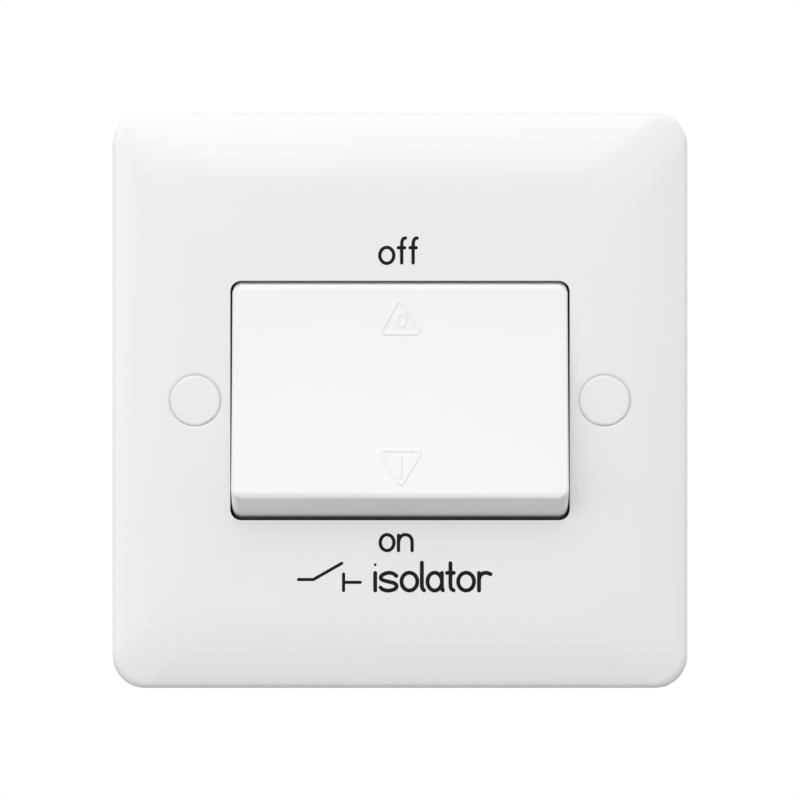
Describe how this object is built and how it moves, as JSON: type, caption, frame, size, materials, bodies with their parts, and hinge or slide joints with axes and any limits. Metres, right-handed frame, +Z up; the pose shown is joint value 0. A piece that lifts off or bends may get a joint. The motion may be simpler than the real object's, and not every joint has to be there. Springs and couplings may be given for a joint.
{
  "type": "fan isolator switch",
  "caption": "Square moulded wall plate with a wide tilting rocker, round screw caps and a rear switch base with screw terminals, used to isolate an extractor fan.",
  "frame": {"origin": "middle of the plate on the wall plane, half way between the two fixing screws", "axes": "+X to the right, +Y rearward into the wall box along the fixing screws, +Z up"},
  "size_m": [0.086, 0.0347, 0.086],
  "materials": {
    "white_plate": "gloss",
    "white_rocker": "gloss",
    "dark_base": "matte",
    "brass": "bright",
    "plated_steel": "zinc plated",
    "silver_contact": "satin",
    "pale_plunger": "satin",
    "spring_steel": "bright"
  },
  "bodies": {
    "plate_and_base": {"front_plate": "white_plate", "screw_cap_left": "white_plate", "screw_cap_right": "white_plate", "fixing_screws": "plated_steel", "switch_base": "dark_base", "base_screws": "plated_steel", "terminal_screws": "plated_steel", "pivot_terminal_left": "brass", "contact_terminal_left": "brass", "fixed_tip_left": "silver_contact", "pivot_terminal_middle": "brass", "contact_terminal_middle": "brass", "fixed_tip_middle": "silver_contact", "pivot_terminal_right": "brass", "contact_terminal_right": "brass", "fixed_tip_right": "silver_contact"},
    "rocker": {"rocker": "white_rocker", "plunger_spring_left": "spring_steel", "plunger_spring_middle": "spring_steel", "plunger_spring_right": "spring_steel"},
    "plunger_left": {"plunger_left": "pale_plunger"},
    "contact_left": {"moving_contact_left": "brass", "moving_tip_left": "silver_contact"},
    "plunger_middle": {"plunger_middle": "pale_plunger"},
    "contact_middle": {"moving_contact_middle": "brass", "moving_tip_middle": "silver_contact"},
    "plunger_right": {"plunger_right": "pale_plunger"},
    "contact_right": {"moving_contact_right": "brass", "moving_tip_right": "silver_contact"}
  },
  "joints": [
    {"name": "rocker_tilt", "type": "hinge", "parent": "plate_and_base", "child": "rocker", "pos_m": [0, -0.0016, 0], "axis": [1, 0, 0], "range_deg": [0, 17.6]},
    {"name": "plunger_left_slide", "type": "slide", "parent": "rocker", "child": "plunger_left", "axis": [0, -0.9882, 0.153], "range_m": [0, 0.0006], "stiffness_N_per_m": 300, "springref_m": -0.002, "deforming": ["plunger_spring_left"]},
    {"name": "contact_left_seesaw", "type": "hinge", "parent": "plate_and_base", "child": "contact_left", "pos_m": [-0.016, 0.01088, 0], "axis": [1, 0, 0], "range_deg": [-17.6, 0]},
    {"name": "plunger_middle_slide", "type": "slide", "parent": "rocker", "child": "plunger_middle", "axis": [0, -0.9882, 0.153], "range_m": [0, 0.0006], "stiffness_N_per_m": 300, "springref_m": -0.002, "deforming": ["plunger_spring_middle"]},
    {"name": "contact_middle_seesaw", "type": "hinge", "parent": "plate_and_base", "child": "contact_middle", "pos_m": [0, 0.01088, 0], "axis": [1, 0, 0], "range_deg": [-17.6, 0]},
    {"name": "plunger_right_slide", "type": "slide", "parent": "rocker", "child": "plunger_right", "axis": [0, -0.9882, 0.153], "range_m": [0, 0.0006], "stiffness_N_per_m": 300, "springref_m": -0.002, "deforming": ["plunger_spring_right"]},
    {"name": "contact_right_seesaw", "type": "hinge", "parent": "plate_and_base", "child": "contact_right", "pos_m": [0.016, 0.01088, 0], "axis": [1, 0, 0], "range_deg": [-17.6, 0]}
  ],
  "couplings": [
    {"joint": "contact_left_seesaw", "follows": "rocker_tilt", "ratio": -1},
    {"joint": "contact_middle_seesaw", "follows": "rocker_tilt", "ratio": -1},
    {"joint": "contact_right_seesaw", "follows": "rocker_tilt", "ratio": -1}
  ]
}
